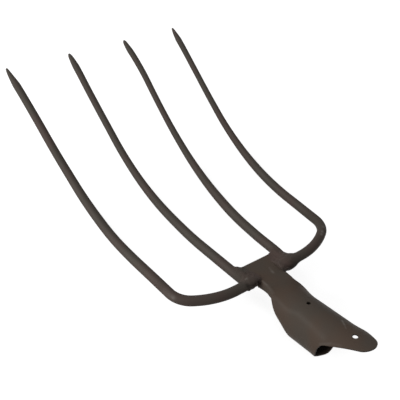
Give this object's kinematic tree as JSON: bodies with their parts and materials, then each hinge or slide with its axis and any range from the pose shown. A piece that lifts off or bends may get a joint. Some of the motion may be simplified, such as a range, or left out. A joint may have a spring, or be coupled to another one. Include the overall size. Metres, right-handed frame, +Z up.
{
  "type": "four-tine fork head",
  "caption": "Head of a garden or manure fork: curved round tines on a bow, a flat head plate and a rolled sheet-steel handle socket with a nailing tongue, without its handle.",
  "frame": {"origin": "on the handle's axis, in the plane where the socket's slanted mouth is first round all the way", "axes": "+Y from the socket towards the tine tips, +Z up as the head lies on a floor on its tine bellies and the underside of the socket, +X to the right when looking along +Y"},
  "size_m": [0.235, 0.4789, 0.0771],
  "materials": {
    "sheet_steel": "satin dark brown-grey paint",
    "round_bar": "satin dark brown-grey paint",
    "weld_metal": "satin dark brown-grey paint over rough weld"
  },
  "bodies": {
    "root": {"socket": "sheet_steel", "outer_tine_left": "round_bar", "inner_tine_left": "round_bar", "weld_rear_left": "weld_metal", "weld_crotch_left": "weld_metal", "weld_plate_left": "weld_metal", "outer_tine_right": "round_bar", "inner_tine_right": "round_bar", "weld_rear_right": "weld_metal", "weld_crotch_right": "weld_metal", "weld_plate_right": "weld_metal"}
  },
  "joints": []
}
